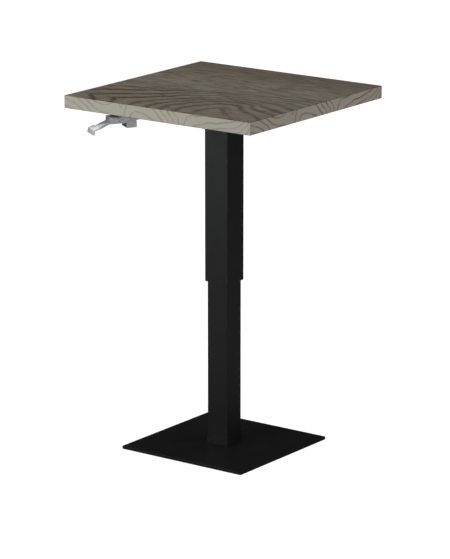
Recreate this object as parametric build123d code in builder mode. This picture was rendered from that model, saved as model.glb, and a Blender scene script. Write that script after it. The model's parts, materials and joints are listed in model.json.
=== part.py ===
from build123d import *

import math
import os

# Height adjustable pedestal table: square laminated top, two-stage square column with a
# lockable gas spring inside, flat steel base, and a hand lever that frees the spring by cable.
# Millimetres, +Z up. The origin is on the floor under the middle of the column, and the
# front edge of the top, the one the lever hangs behind, faces -Y.

os.makedirs("parts", exist_ok=True)

# ---- driving dimensions -----------------------------------------------------------------
TOTAL_H = 980.0  # floor to working surface, as the table is shown
TOP_SIDE = 600.0
CORE_T = 32.0
SKIN_T = 0.8
BAND_T = 2.0

FLOOR_PAD_T = 3.0
BASE_SIDE = 396.0
BASE_T = 8.0

OUTER_SIDE = 75.0
OUTER_WALL = 2.5
INNER_SIDE = 65.0
INNER_WALL = 2.0
TUBE_R = 2.5  # outside corner radius of both tubes
COLLAR_SIDE = 70.0
COLLAR_H = 27.0
OUTER_BOTTOM = 462.2  # lowest point of the upper stage, with its bush rim
INNER_TOP = 643.0
GLIDE_H = 45.0
FLAT_PLAY = 0.15  # between a plastic glide and the steel it runs on, each side

PLATE_SIDE = 240.0
PLATE_T = 5.0

FIT = 0.05  # radial clearance of running and bolted fits

# heights that follow
BASE_TOP = FLOOR_PAD_T + BASE_T
UNDERSIDE = TOTAL_H - CORE_T - 2 * SKIN_T
PLATE_UNDER = UNDERSIDE - PLATE_T
OUTER_BORE = OUTER_SIDE - 2 * OUTER_WALL
INNER_BORE = INNER_SIDE - 2 * INNER_WALL


def keep(builder, name):
    """Label a finished piece and write it as its own STEP file."""
    builder.part.label = name
    export_step(builder.part, f"parts/{name}.step")


# ---- base -------------------------------------------------------------------------------
with BuildPart() as floor_pad:
    with BuildSketch(Plane.XY):
        RectangleRounded(BASE_SIDE - 16, BASE_SIDE - 16, 6)
    extrude(amount=FLOOR_PAD_T)
keep(floor_pad, "floor_pad")

BOLT_PITCH = 38.0
BOLT_R = 4.0
BOLT_HEAD_R = 8.0
BOLT_LEN = 19.0
bolt_spots = GridLocations(BOLT_PITCH, BOLT_PITCH, 2, 2).locations

with BuildPart() as base_plate:
    with BuildSketch(Plane.XY.offset(FLOOR_PAD_T)):
        RectangleRounded(BASE_SIDE, BASE_SIDE, 3)
    extrude(amount=BASE_T)
    fillet(base_plate.faces().sort_by(Axis.Z)[-1].edges(), 1.0)
    with Locations(Plane(origin=(0, 0, FLOOR_PAD_T), z_dir=(0, 0, -1))):
        with GridLocations(BOLT_PITCH, BOLT_PITCH, 2, 2):
            CounterSinkHole(BOLT_R + FIT, BOLT_HEAD_R + FIT, counter_sink_angle=90)
keep(base_plate, "base_plate")

with BuildPart() as base_bolts:
    for spot in bolt_spots:
        x, y = spot.position.X, spot.position.Y
        with BuildSketch(Plane(origin=(x, y, FLOOR_PAD_T), x_dir=(1, 0, 0), z_dir=(0, -1, 0))):
            with BuildLine():
                Polyline(
                    (0, 0), (BOLT_HEAD_R, 0), (BOLT_R, BOLT_HEAD_R - BOLT_R),
                    (BOLT_R, BOLT_LEN - 1), (BOLT_R - 1, BOLT_LEN), (0, BOLT_LEN), close=True,
                )
            make_face()
        revolve(axis=Axis((x, y, 0), (0, 0, 1)))
    with BuildSketch(Plane.XY.offset(FLOOR_PAD_T)):
        with GridLocations(BOLT_PITCH, BOLT_PITCH, 2, 2):
            RegularPolygon(2.9, 6)
    extrude(amount=3, mode=Mode.SUBTRACT)
keep(base_bolts, "base_bolts")

# ---- lower stage of the column ----------------------------------------------------------
with BuildPart() as inner_tube:
    with BuildSketch(Plane.XY.offset(BASE_TOP)):
        RectangleRounded(INNER_SIDE, INNER_SIDE, TUBE_R)
        RectangleRounded(INNER_BORE, INNER_BORE, TUBE_R - INNER_WALL, mode=Mode.SUBTRACT)
    extrude(amount=INNER_TOP - BASE_TOP)
keep(inner_tube, "inner_tube")

with BuildPart() as base_collar:
    with BuildSketch(Plane.XY.offset(BASE_TOP)):
        RectangleRounded(COLLAR_SIDE, COLLAR_SIDE, TUBE_R)
        RectangleRounded(INNER_SIDE + 0.6, INNER_SIDE + 0.6, TUBE_R, mode=Mode.SUBTRACT)
    extrude(amount=COLLAR_H)
    chamfer(base_collar.faces().sort_by(Axis.Z)[-1].outer_wire().edges(), 0.8)
keep(base_collar, "base_collar")

FOOT_T = 14.0
STUD_R = 5.0
with BuildPart() as tube_foot:
    with BuildSketch(Plane.XY.offset(BASE_TOP)):
        RectangleRounded(INNER_BORE - 0.4, INNER_BORE - 0.4, 1.2)
        with GridLocations(BOLT_PITCH, BOLT_PITCH, 2, 2):
            Circle(BOLT_R + FIT, mode=Mode.SUBTRACT)
        Circle(STUD_R + FIT, mode=Mode.SUBTRACT)
    extrude(amount=FOOT_T)
keep(tube_foot, "tube_foot")

GLIDE_SIDE = OUTER_BORE - 2 * FLAT_PLAY
with BuildPart() as upper_glide:
    with BuildSketch(Plane.XY.offset(INNER_TOP - GLIDE_H)):
        RectangleRounded(GLIDE_SIDE, GLIDE_SIDE, 0.8)
        RectangleRounded(INNER_SIDE + 0.2, INNER_SIDE + 0.2, TUBE_R, mode=Mode.SUBTRACT)
    extrude(amount=GLIDE_H)
    with BuildSketch(Plane.XY.offset(INNER_TOP)):
        RectangleRounded(GLIDE_SIDE, GLIDE_SIDE, 0.8)
        RectangleRounded(INNER_BORE - 1, INNER_BORE - 1, 2, mode=Mode.SUBTRACT)
    extrude(amount=2)
    chamfer(upper_glide.faces().sort_by(Axis.Z)[-1].outer_wire().edges(), 0.6)
keep(upper_glide, "upper_glide")


def turned(points):
    """Revolve a closed half profile of (radius, height) points about the column axis."""
    with BuildPart() as body:
        with BuildSketch(Plane.XZ):
            with BuildLine():
                Polyline(*points, close=True)
            make_face()
        revolve(axis=Axis.Z)
    return body


# ---- gas spring -------------------------------------------------------------------------
FOOT_TOP = BASE_TOP + FOOT_T
STAND_TOP = 276.0
STAND_R = 15.0
PIN_STUD_R = 4.0
PIN_STUD_LEN = 8.0
spring_stand = turned([
    (0, BASE_TOP + 1), (STUD_R, BASE_TOP + 1), (STUD_R, FOOT_TOP), (STAND_R, FOOT_TOP),
    (STAND_R, STAND_TOP), (PIN_STUD_R + FIT, STAND_TOP), (PIN_STUD_R + FIT, STAND_TOP - 12),
    (STAND_R - 3, STAND_TOP - 12), (STAND_R - 3, FOOT_TOP + 8), (0, FOOT_TOP + 8),
])
keep(spring_stand, "spring_stand")

CYL_R = 14.0
CYL_BORE_R = 12.0
CYL_TOP = 640.0
ROD_R = 5.0
GLAND_BOTTOM = CYL_TOP - 16
GLAND_TOP = CYL_TOP - 3
gas_spring_cylinder = turned([
    (0, STAND_TOP - PIN_STUD_LEN), (PIN_STUD_R, STAND_TOP - PIN_STUD_LEN),
    (PIN_STUD_R, STAND_TOP), (CYL_R - 1, STAND_TOP), (CYL_R, STAND_TOP + 2), (CYL_R, CYL_TOP - 1),
    (CYL_R - 1, CYL_TOP), (CYL_BORE_R, CYL_TOP), (CYL_BORE_R, STAND_TOP + 10), (0, STAND_TOP + 10),
])
keep(gas_spring_cylinder, "gas_spring_cylinder")

gas_spring_gland = turned([
    (ROD_R + FIT, GLAND_BOTTOM), (CYL_BORE_R - FIT, GLAND_BOTTOM),
    (CYL_BORE_R - FIT, GLAND_TOP), (ROD_R + FIT, GLAND_TOP),
])
keep(gas_spring_gland, "gas_spring_gland")

rod_wiper_seal = turned([
    (ROD_R + FIT, GLAND_TOP), (CYL_BORE_R - FIT, GLAND_TOP), (CYL_BORE_R - FIT, GLAND_TOP + 2),
    (ROD_R + 2.5, GLAND_TOP + 4.5), (ROD_R + FIT, GLAND_TOP + 4.5),
])
keep(rod_wiper_seal, "rod_wiper_seal")

# The rod hangs from the head bracket under the top and carries the piston at its lower end.
WEB_TOP = PLATE_UNDER - 40
WEB_T = 6.0
ROD_TOP = PLATE_UNDER - 34
ROD_BOTTOM = 534.0
PISTON_T = 14.0
NECK_R = 4.0
PIN_R = 2.0
PIN_HOLE_BOTTOM = ROD_TOP - 24
gas_spring_rod = turned([
    (0, ROD_BOTTOM), (NECK_R, ROD_BOTTOM), (NECK_R, ROD_BOTTOM + 8 + PISTON_T),
    (ROD_R, ROD_BOTTOM + 8 + PISTON_T), (ROD_R, ROD_TOP - 0.6), (ROD_R - 0.6, ROD_TOP),
    (PIN_R + FIT, ROD_TOP), (PIN_R + FIT, PIN_HOLE_BOTTOM), (0, PIN_HOLE_BOTTOM),
])
keep(gas_spring_rod, "gas_spring_rod")

gas_spring_piston = turned([
    (NECK_R + FIT, ROD_BOTTOM + 8), (CYL_BORE_R - 0.08, ROD_BOTTOM + 8),
    (CYL_BORE_R - 0.08, ROD_BOTTOM + 13), (CYL_BORE_R - 1.5, ROD_BOTTOM + 13),
    (CYL_BORE_R - 1.5, ROD_BOTTOM + 17), (CYL_BORE_R - 0.08, ROD_BOTTOM + 17),
    (CYL_BORE_R - 0.08, ROD_BOTTOM + 8 + PISTON_T), (NECK_R + FIT, ROD_BOTTOM + 8 + PISTON_T),
])
keep(gas_spring_piston, "gas_spring_piston")

with BuildPart() as piston_nut:
    with BuildSketch(Plane.XY.offset(ROD_BOTTOM + 1.5)):
        RegularPolygon(7.5, 6)
        Circle(NECK_R + FIT, mode=Mode.SUBTRACT)
    extrude(amount=6.5)
keep(piston_nut, "piston_nut")

with BuildPart() as rod_lock_nuts:
    for bottom in (WEB_TOP - WEB_T - 6, WEB_TOP):
        with BuildSketch(Plane.XY.offset(bottom)):
            RegularPolygon(9.5, 6)
            Circle(ROD_R + FIT, mode=Mode.SUBTRACT)
        extrude(amount=5.5 if bottom == WEB_TOP else 6)
keep(rod_lock_nuts, "rod_lock_nuts")

# ---- release head: bracket, crank and pin -----------------------------------------------
HEAD_IN = 15.0  # half the clear width between the bracket's cheeks
HEAD_WALL = 3.0
HEAD_BACK = 20.0  # half the bracket's depth along Y
CRANK_Y = 8.0
CRANK_Z = PLATE_UNDER - 26
CABLE_Z = PLATE_UNDER - 16
CABLE_TAB_T = 3.0
CRANK_PIN_R = 3.0
HEAD_SCREW_X = 26.0
HEAD_SCREW_R = 3.0
ADJUSTER_R = 3.0

with BuildPart() as release_bracket:
    # a solid block first; cutting its middle away leaves the web, two cheeks and a front wall
    with BuildSketch(Plane.XY.offset(WEB_TOP - WEB_T)):
        Rectangle(2 * (HEAD_IN + HEAD_WALL), 2 * HEAD_BACK)
    extrude(amount=PLATE_UNDER - WEB_TOP + WEB_T)
    with BuildSketch(Plane.XY.offset(WEB_TOP)):
        with Locations((0, CABLE_TAB_T / 2)):
            Rectangle(2 * HEAD_IN, 2 * HEAD_BACK - CABLE_TAB_T)
    extrude(amount=PLATE_UNDER - WEB_TOP, mode=Mode.SUBTRACT)
    # the front wall keeps only the tab that anchors the cable
    with BuildSketch(Plane.XY.offset(WEB_TOP)):
        with Locations((0, -HEAD_BACK + CABLE_TAB_T / 2)):
            Rectangle(2 * HEAD_IN, CABLE_TAB_T)
    extrude(amount=12, mode=Mode.SUBTRACT)
    with BuildSketch(Plane.XY.offset(PLATE_UNDER - HEAD_WALL)):
        for side in (-1, 1):
            with Locations((side * (HEAD_SCREW_X - 0.5), 0)):
                Rectangle(15, 2 * HEAD_BACK)
        with Locations((HEAD_SCREW_X, 0), (-HEAD_SCREW_X, 0)):
            Circle(HEAD_SCREW_R + FIT, mode=Mode.SUBTRACT)
    extrude(amount=HEAD_WALL)
    with BuildSketch(Plane.XY.offset(WEB_TOP - WEB_T)):
        Circle(ROD_R + FIT)
    extrude(amount=WEB_T, mode=Mode.SUBTRACT)
    with BuildSketch(Plane(origin=(0, 0, CRANK_Z), x_dir=(0, 1, 0), z_dir=(1, 0, 0))):
        with Locations((CRANK_Y, 0)):
            Circle(CRANK_PIN_R + FIT)
    extrude(amount=HEAD_IN + HEAD_WALL + 1, both=True, mode=Mode.SUBTRACT)
    with BuildSketch(Plane(origin=(0, -HEAD_BACK, CABLE_Z), x_dir=(1, 0, 0), z_dir=(0, -1, 0))):
        Circle(ADJUSTER_R + FIT)
    extrude(amount=-CABLE_TAB_T, mode=Mode.SUBTRACT)
keep(release_bracket, "release_bracket")


def round_screws(points, head_z, head_r, head_h, shank_r, length, slot):
    """Screws that point up: a domed-edge head below head_z, a shank above it, a cross recess."""
    with BuildPart() as screws:
        with BuildSketch(Plane.XY.offset(head_z - head_h)):
            with Locations(*points):
                Circle(head_r)
        extrude(amount=head_h)
        fillet(screws.edges().group_by(Axis.Z)[0], head_h * 0.45)
        with BuildSketch(Plane.XY.offset(head_z)):
            with Locations(*points):
                Circle(shank_r)
        extrude(amount=length)
        chamfer(screws.edges().group_by(Axis.Z)[-1], shank_r * 0.6)
        with BuildSketch(Plane.XY.offset(head_z - head_h)):
            with Locations(*points):
                Rectangle(slot, slot * 0.28)
                Rectangle(slot * 0.28, slot)
        extrude(amount=head_h * 0.55, mode=Mode.SUBTRACT)
    return screws


head_screw_points = [(HEAD_SCREW_X, 0), (-HEAD_SCREW_X, 0)]
bracket_screws = round_screws(
    head_screw_points, PLATE_UNDER - HEAD_WALL, 5.0, 3.0, HEAD_SCREW_R, HEAD_WALL + PLATE_T - 0.5, 4.5
)
keep(bracket_screws, "bracket_screws")

NOSE_R = 4.0
CRANK_ARM = 10.0
CRANK_LEAN = math.radians(7)
CRANK_HALF = 4.0
ARM_T = 4.0
WIRE_SLOT = 2.2
side_view = Plane(origin=(0, 0, CRANK_Z), x_dir=(0, 1, 0), z_dir=(1, 0, 0))
arm_tip = (CRANK_Y + 14 * math.sin(CRANK_LEAN), 14 * math.cos(CRANK_LEAN))
with BuildPart() as release_crank:
    with BuildSketch(side_view):
        Circle(NOSE_R)
        with Locations((CRANK_Y, 0)):
            Circle(6)
        with Locations((CRANK_Y / 2, 0)):
            Rectangle(CRANK_Y, 2 * NOSE_R)
        with Locations(((CRANK_Y + arm_tip[0]) / 2, arm_tip[1] / 2)):
            Rectangle(ARM_T, 14, rotation=-7)
        with Locations((CRANK_Y, 0)):
            Circle(CRANK_PIN_R + FIT, mode=Mode.SUBTRACT)
    extrude(amount=CRANK_HALF, both=True)
    with BuildSketch(Plane.XY.offset(CRANK_Z + 6.5)):
        with Locations((0, CRANK_Y)):
            Rectangle(WIRE_SLOT, 16)
    extrude(amount=10, mode=Mode.SUBTRACT)
keep(release_crank, "release_crank")

with BuildPart() as crank_pivot_pin:
    with BuildSketch(side_view):
        with Locations((CRANK_Y, 0)):
            Circle(CRANK_PIN_R)
    extrude(amount=HEAD_IN + HEAD_WALL + 1.5, both=True)
    for side in (-1, 1):
        with BuildSketch(side_view.offset(side * (HEAD_IN + HEAD_WALL))):
            with Locations((CRANK_Y, 0)):
                Circle(5)
        extrude(amount=side * 1.5)
keep(crank_pivot_pin, "crank_pivot_pin")

with BuildPart() as crank_spacers:
    for side in (-1, 1):
        with BuildSketch(side_view.offset(side * (CRANK_HALF + 0.2))):
            with Locations((CRANK_Y, 0)):
                Circle(5)
                Circle(CRANK_PIN_R + FIT, mode=Mode.SUBTRACT)
        extrude(amount=side * (HEAD_IN - CRANK_HALF - 0.3))
keep(crank_spacers, "crank_spacers")

PIN_TOP = CRANK_Z - NOSE_R - 0.1
release_pin = turned([
    (0, PIN_HOLE_BOTTOM + 4), (PIN_R, PIN_HOLE_BOTTOM + 4),
    (PIN_R, PIN_TOP - 0.5), (PIN_R - 0.5, PIN_TOP), (0, PIN_TOP),
])
keep(release_pin, "release_pin")

# ---- upper stage of the column and the mounting plate -----------------------------------
BUSH_RIM = 1.0
WINDOW_W = 18.0
WINDOW_H = 26.0
with BuildPart() as outer_tube:
    with BuildSketch(Plane.XY.offset(OUTER_BOTTOM + BUSH_RIM)):
        RectangleRounded(OUTER_SIDE, OUTER_SIDE, TUBE_R)
        RectangleRounded(OUTER_BORE, OUTER_BORE, 0.5, mode=Mode.SUBTRACT)
    extrude(amount=PLATE_UNDER - OUTER_BOTTOM - BUSH_RIM)
    # cable window in the front wall, open to the welded plate
    with BuildSketch(Plane.XY.offset(PLATE_UNDER - WINDOW_H)):
        with Locations((0, -OUTER_SIDE / 2 + OUTER_WALL / 2)):
            Rectangle(WINDOW_W, OUTER_WALL + 1)
    extrude(amount=WINDOW_H, mode=Mode.SUBTRACT)
keep(outer_tube, "outer_tube")

with BuildPart() as lower_glide:
    with BuildSketch(Plane.XY.offset(OUTER_BOTTOM + BUSH_RIM)):
        RectangleRounded(OUTER_BORE - 0.1, OUTER_BORE - 0.1, 0.8)
        bush_bore = INNER_SIDE + 2 * FLAT_PLAY
        RectangleRounded(bush_bore, bush_bore, TUBE_R - 0.3, mode=Mode.SUBTRACT)
    extrude(amount=GLIDE_H)
    with BuildSketch(Plane.XY.offset(OUTER_BOTTOM)):
        RectangleRounded(OUTER_SIDE - 1, OUTER_SIDE - 1, 2)
        RectangleRounded(bush_bore, bush_bore, TUBE_R - 0.3, mode=Mode.SUBTRACT)
    extrude(amount=BUSH_RIM)
keep(lower_glide, "lower_glide")

PLATE_SCREW = 100.0
plate_points = [
    (x * PLATE_SCREW, y * PLATE_SCREW)
    for x in (-1, 0, 1) for y in (-1, 0, 1) if (x, y) != (0, 0)
]
WOOD_R = 2.4
with BuildPart() as mounting_plate:
    with BuildSketch(Plane.XY.offset(PLATE_UNDER)):
        RectangleRounded(PLATE_SIDE, PLATE_SIDE, 12)
        with Locations(*plate_points):
            Circle(WOOD_R + 0.3, mode=Mode.SUBTRACT)
        with Locations(*head_screw_points):
            Circle(HEAD_SCREW_R + FIT, mode=Mode.SUBTRACT)
    extrude(amount=PLATE_T)
    chamfer(mounting_plate.faces().sort_by(Axis.Z)[0].outer_wire().edges(), 0.8)
keep(mounting_plate, "mounting_plate")

PLATE_SCREW_LEN = 26.0
plate_screws = round_screws(plate_points, PLATE_UNDER, 4.6, 2.8, WOOD_R, PLATE_SCREW_LEN, 5.0)
keep(plate_screws, "plate_screws")

# ---- hand lever assembly ----------------------------------------------------------------
# It hangs under the front left part of the top and points out past the front edge, turned
# away from straight ahead. In its own directions x runs outward along the lever, y across
# it towards the front right, z up, with zero at the mouth's middle on the top's underside.
LEVER_AT = (-165.0, -287.5)
LEVER_TURN = math.radians(32.4)
lever_out = (-math.sin(LEVER_TURN), -math.cos(LEVER_TURN), 0)
lever_side = (math.cos(LEVER_TURN), -math.sin(LEVER_TURN), 0)
lever_origin = (LEVER_AT[0], LEVER_AT[1], UNDERSIDE)
lever_plan = Plane(origin=lever_origin, x_dir=lever_out, z_dir=(0, 0, 1))
lever_elevation = Plane(
    origin=lever_origin, x_dir=lever_out, z_dir=(-lever_side[0], -lever_side[1], 0)
)
lever_section = Plane(origin=lever_origin, x_dir=lever_side, z_dir=lever_out)

HOUSE_W = 38.4
SHEET = 2.0
ROOF_Z = -9.0
FRONT_Z = -26.3
STEP_X = -30.0
LEG_X = -45.3
LEG_Z = -39.3
REAR_X = -73.0
PIVOT_X = -20.0
PIVOT_Z = -16.0
PIVOT_R = 3.0
TIE_X = -54.6
TIE_R = 3.5
FLANGE_Y = 31.0
WIRE_Z = -23.0
WIRE_Y = -7.0
WALL_X = -62.0
FERRULE_R = 3.0
house_screws_local = [(-43, 25.5), (-43, -25.5), (-63, 25.5), (-63, -25.5)]
HOUSE_SCREW_R = 2.1


def lever_point(x, y):
    """World x and y of a point given in the lever's own plan."""
    return (
        LEVER_AT[0] + x * lever_out[0] + y * lever_side[0],
        LEVER_AT[1] + x * lever_out[1] + y * lever_side[1],
    )


with BuildPart() as lever_housing:
    # folded sheet: outside shape, then the hollow, then what closes it again
    with BuildSketch(lever_elevation):
        with BuildLine():
            Polyline(
                (0, ROOF_Z), (0, FRONT_Z), (LEG_X, FRONT_Z), (LEG_X, LEG_Z), (REAR_X, LEG_Z),
                (REAR_X, 0), (STEP_X, 0), (STEP_X, ROOF_Z), close=True,
            )
        make_face()
    extrude(amount=HOUSE_W / 2, both=True)
    long_edges = lever_housing.edges().filter_by(
        lambda e: abs(abs(e.tangent_at(0.5).dot(Vector(*lever_out))) - 1) < 1e-3
    )
    roof_edges = long_edges.filter_by(
        lambda e: e.center().Z > UNDERSIDE + ROOF_Z - 0.1
    )
    fillet(roof_edges, 1.6)
    with BuildSketch(lever_elevation):
        with BuildLine():
            Polyline(
                (1, ROOF_Z - SHEET), (1, LEG_Z + SHEET), (REAR_X + SHEET, LEG_Z + SHEET),
                (REAR_X + SHEET, -SHEET), (STEP_X - SHEET, -SHEET),
                (STEP_X - SHEET, ROOF_Z - SHEET), close=True,
            )
        make_face()
    extrude(amount=HOUSE_W / 2 - SHEET, both=True, mode=Mode.SUBTRACT)
    # the rear wall stays only below the cable
    with BuildSketch(lever_section.offset(REAR_X - 1)):
        with Locations((0, (WIRE_Z - 5 - SHEET) / 2)):
            Rectangle(HOUSE_W - 2 * SHEET, -(WIRE_Z - 5) - SHEET)
    extrude(amount=SHEET + 2, mode=Mode.SUBTRACT)
    # cable wall across the deep rear box
    with BuildSketch(lever_section.offset(WALL_X)):
        with Locations((0, (-21 + LEG_Z + SHEET) / 2)):
            Rectangle(HOUSE_W - SHEET, -21 - LEG_Z - SHEET)
        with Locations((0, -20)):
            Rectangle(HOUSE_W - SHEET, 4)
        with Locations((WIRE_Y, WIRE_Z)):
            Circle(FERRULE_R + FIT, mode=Mode.SUBTRACT)
    extrude(amount=-SHEET)
    # ears that screw to the underside
    with BuildSketch(lever_plan.offset(-SHEET)):
        with Locations(((STEP_X + REAR_X) / 2 - 2, 0)):
            RectangleRounded(34, 2 * FLANGE_Y, 3)
        with Locations(((STEP_X + REAR_X) / 2 - 2, 0)):
            Rectangle(40, HOUSE_W - 4, mode=Mode.SUBTRACT)
        with Locations(*house_screws_local):
            Circle(HOUSE_SCREW_R + 0.2, mode=Mode.SUBTRACT)
    extrude(amount=SHEET)
    # pivot and tie holes through both cheeks
    with BuildSketch(lever_elevation):
        with Locations((PIVOT_X, PIVOT_Z)):
            Circle(PIVOT_R + FIT)
        with Locations((TIE_X, PIVOT_Z)):
            Circle(TIE_R + FIT)
    extrude(amount=HOUSE_W, both=True, mode=Mode.SUBTRACT)
keep(lever_housing, "lever_housing")


def headed_pin(x, radius, name):
    """A pin across the housing with a low domed head outside each cheek."""
    with BuildPart() as pin:
        with BuildSketch(lever_elevation):
            with Locations((x, PIVOT_Z)):
                Circle(radius)
        extrude(amount=HOUSE_W / 2 + 1, both=True)
        for side in (-1, 1):
            with BuildSketch(lever_elevation.offset(side * HOUSE_W / 2)):
                with Locations((x, PIVOT_Z)):
                    Circle(5.4)
            extrude(amount=side * 2.2)
        rims = pin.edges().filter_by(GeomType.CIRCLE).filter_by(
            lambda e: abs(e.radius - 5.4) < 0.01
        )
        centre = Vector(*lever_origin)
        outer_rims = rims.filter_by(
            lambda e: abs((e.arc_center - centre).dot(Vector(*lever_side))) > HOUSE_W / 2 + 2
        )
        fillet(outer_rims, 1.6)
    keep(pin, name)


headed_pin(PIVOT_X, PIVOT_R, "lever_pivot_pin")
headed_pin(TIE_X, TIE_R, "housing_tie_rivet")

house_screw_points = [lever_point(x, y) for x, y in house_screws_local]
HOUSE_SCREW_LEN = 20.0
housing_screws = round_screws(
    house_screw_points, UNDERSIDE - SHEET, 4.0, 2.4, HOUSE_SCREW_R, HOUSE_SCREW_LEN, 4.2
)
keep(housing_screws, "housing_screws")

# The lever is one pressing: a stem of channel section, a wide grip that curls down at its
# end, and inside the housing two pivot ears with a tongue below that pulls the cable.
STEM_DROP = math.tan(math.radians(22.4))
STEM_Z = -20.3  # top of the stem at the mouth
STEM_HALF = 15.6
STEM_DEEP = 6.8
GRIP_X = 32.2
GRIP_HALF = 25.0
GRIP_SHEET = 2.4
CREST_X = 44.0
EAR_R = 4.7
TONGUE_ARM = 7.0
TONGUE_LEAN = math.radians(10)
STEM_START = -15.5


def stem_z(x):
    """Height of the stem's top face at x."""
    return STEM_Z - x * STEM_DROP


with BuildPart() as hand_lever:
    # side flanges with their pivot ears
    with BuildSketch(lever_elevation):
        with BuildLine():
            Polyline(
                (STEM_START, stem_z(STEM_START)), (GRIP_X, stem_z(GRIP_X)),
                (GRIP_X + 6, stem_z(GRIP_X + 6) - 1.2), (GRIP_X, stem_z(GRIP_X) - STEM_DEEP),
                (STEM_START, stem_z(STEM_START) - STEM_DEEP), (PIVOT_X, PIVOT_Z - EAR_R),
                (PIVOT_X, PIVOT_Z + EAR_R * 0.95), close=True,
            )
        make_face()
        with Locations((PIVOT_X, PIVOT_Z)):
            Circle(EAR_R)
        # tail of each flange, down to the tongue
        with Locations((PIVOT_X - 1.0, PIVOT_Z - 5)):
            Rectangle(5.5, 9.6, rotation=-10)
    extrude(amount=STEM_HALF, both=True)
    with BuildSketch(lever_elevation):
        with BuildLine():
            Polyline(
                (PIVOT_X - 12, PIVOT_Z + 12), (PIVOT_X - 12, FRONT_Z - 10),
                (STEM_START, FRONT_Z - 10), (STEM_START, stem_z(STEM_START) - SHEET),
                (GRIP_X, stem_z(GRIP_X) - SHEET), (GRIP_X + 9, stem_z(GRIP_X + 9) - SHEET),
                (GRIP_X + 9, stem_z(GRIP_X) - 16), (STEM_START, FRONT_Z - 9),
                (STEM_START - 0.2, PIVOT_Z + 12), close=True,
            )
        make_face()
    extrude(amount=STEM_HALF - SHEET, both=True, mode=Mode.SUBTRACT)
    # tongue between the tails
    with BuildSketch(lever_elevation):
        with Locations((
            PIVOT_X - TONGUE_ARM * math.sin(TONGUE_LEAN),
            PIVOT_Z - TONGUE_ARM * math.cos(TONGUE_LEAN),
        )):
            Rectangle(SHEET, 6, rotation=-10)
    extrude(amount=STEM_HALF - 1, both=True)
    with BuildSketch(lever_plan.offset(FRONT_Z - 1)):
        with Locations((PIVOT_X, WIRE_Y)):
            Rectangle(14, WIRE_SLOT)
    extrude(amount=WIRE_Z + 1.6 - FRONT_Z + 1, mode=Mode.SUBTRACT)
    # pivot hole
    with BuildSketch(lever_elevation):
        with Locations((PIVOT_X, PIVOT_Z)):
            Circle(PIVOT_R + FIT)
    extrude(amount=STEM_HALF + 1, both=True, mode=Mode.SUBTRACT)
    # grip: a wide sheet that follows the stem, rolls over a crest and ends in a lip
    with BuildSketch(lever_elevation):
        with BuildLine() as roll:
            FilletPolyline(
                (GRIP_X - 0.5, stem_z(GRIP_X) + 0.5), (CREST_X + 2.2, stem_z(CREST_X) - 0.4),
                (CREST_X + 5.0, stem_z(CREST_X) - 12.6), radius=5.5,
            )
            offset(amount=-GRIP_SHEET, side=Side.RIGHT)
        make_face()
    extrude(amount=GRIP_HALF, both=True)
keep(hand_lever, "hand_lever")

with BuildPart() as pivot_washers:
    for side in (-1, 1):
        with BuildSketch(lever_elevation.offset(side * (STEM_HALF + 0.15))):
            with Locations((PIVOT_X, PIVOT_Z)):
                Circle(4.5)
                Circle(PIVOT_R + FIT, mode=Mode.SUBTRACT)
        extrude(amount=side * (HOUSE_W / 2 - SHEET - STEM_HALF - 0.2))
keep(pivot_washers, "pivot_washers")

# ---- release cable ----------------------------------------------------------------------
WIRE_R = 0.8
BALL_R = 2.4
BORE_R = 1.2
SHEATH_R = 2.5
SOCKET_R = SHEATH_R + 0.1
FERRULE_END = -74.0
SOCKET_IN = -67.0

with BuildPart() as cable_ferrule:
    wire_line = Plane(
        origin=(*lever_point(0, WIRE_Y), UNDERSIDE + WIRE_Z), x_dir=lever_side, z_dir=lever_out
    )
    with BuildSketch(wire_line.offset(WALL_X - SHEET)):
        Circle(FERRULE_R)
    extrude(amount=SHEET + 5)
    with BuildSketch(wire_line.offset(FERRULE_END)):
        Circle(4.3)
    extrude(amount=WALL_X - SHEET - FERRULE_END)
    fillet(cable_ferrule.edges().filter_by(
        lambda e: (e.center() - Vector(*wire_line.origin)).dot(Vector(*lever_out)) < FERRULE_END + 0.1
    ), 1.0)
    with BuildSketch(wire_line.offset(FERRULE_END)):
        Circle(SOCKET_R)
    extrude(amount=SOCKET_IN - FERRULE_END, mode=Mode.SUBTRACT)
    with BuildSketch(wire_line.offset(SOCKET_IN)):
        Circle(BORE_R)
    extrude(amount=30, mode=Mode.SUBTRACT)
keep(cable_ferrule, "cable_ferrule")

tongue_face = PIVOT_X - TONGUE_ARM * math.sin(TONGUE_LEAN) + SHEET / 2 / math.cos(TONGUE_LEAN)
with BuildPart() as lever_wire:
    with BuildSketch(wire_line.offset(WALL_X + 1)):
        Circle(WIRE_R)
    extrude(amount=tongue_face + BALL_R + 0.3 - WALL_X - 1)
    with Locations(wire_line.offset(tongue_face + BALL_R + 0.3)):
        Sphere(BALL_R)
keep(lever_wire, "lever_wire")

ADJUSTER_OUT = -46.0
ADJUSTER_IN = -10.0
cable_axis = Plane(origin=(0, 0, CABLE_Z), x_dir=(1, 0, 0), z_dir=(0, 1, 0))
with BuildPart() as cable_adjuster:
    with BuildSketch(cable_axis.offset(ADJUSTER_OUT + 8)):
        Circle(ADJUSTER_R)
    extrude(amount=ADJUSTER_IN - ADJUSTER_OUT - 8)
    with BuildSketch(cable_axis.offset(ADJUSTER_OUT)):
        Circle(4.5)
    extrude(amount=8)
    fillet(cable_adjuster.edges().group_by(Axis.Y)[0], 0.8)
    with BuildSketch(cable_axis.offset(ADJUSTER_OUT)):
        Circle(SOCKET_R)
    extrude(amount=5, mode=Mode.SUBTRACT)
    with BuildSketch(cable_axis.offset(ADJUSTER_OUT + 5)):
        Circle(BORE_R)
    extrude(amount=ADJUSTER_IN - ADJUSTER_OUT, mode=Mode.SUBTRACT)
keep(cable_adjuster, "cable_adjuster")

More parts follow.
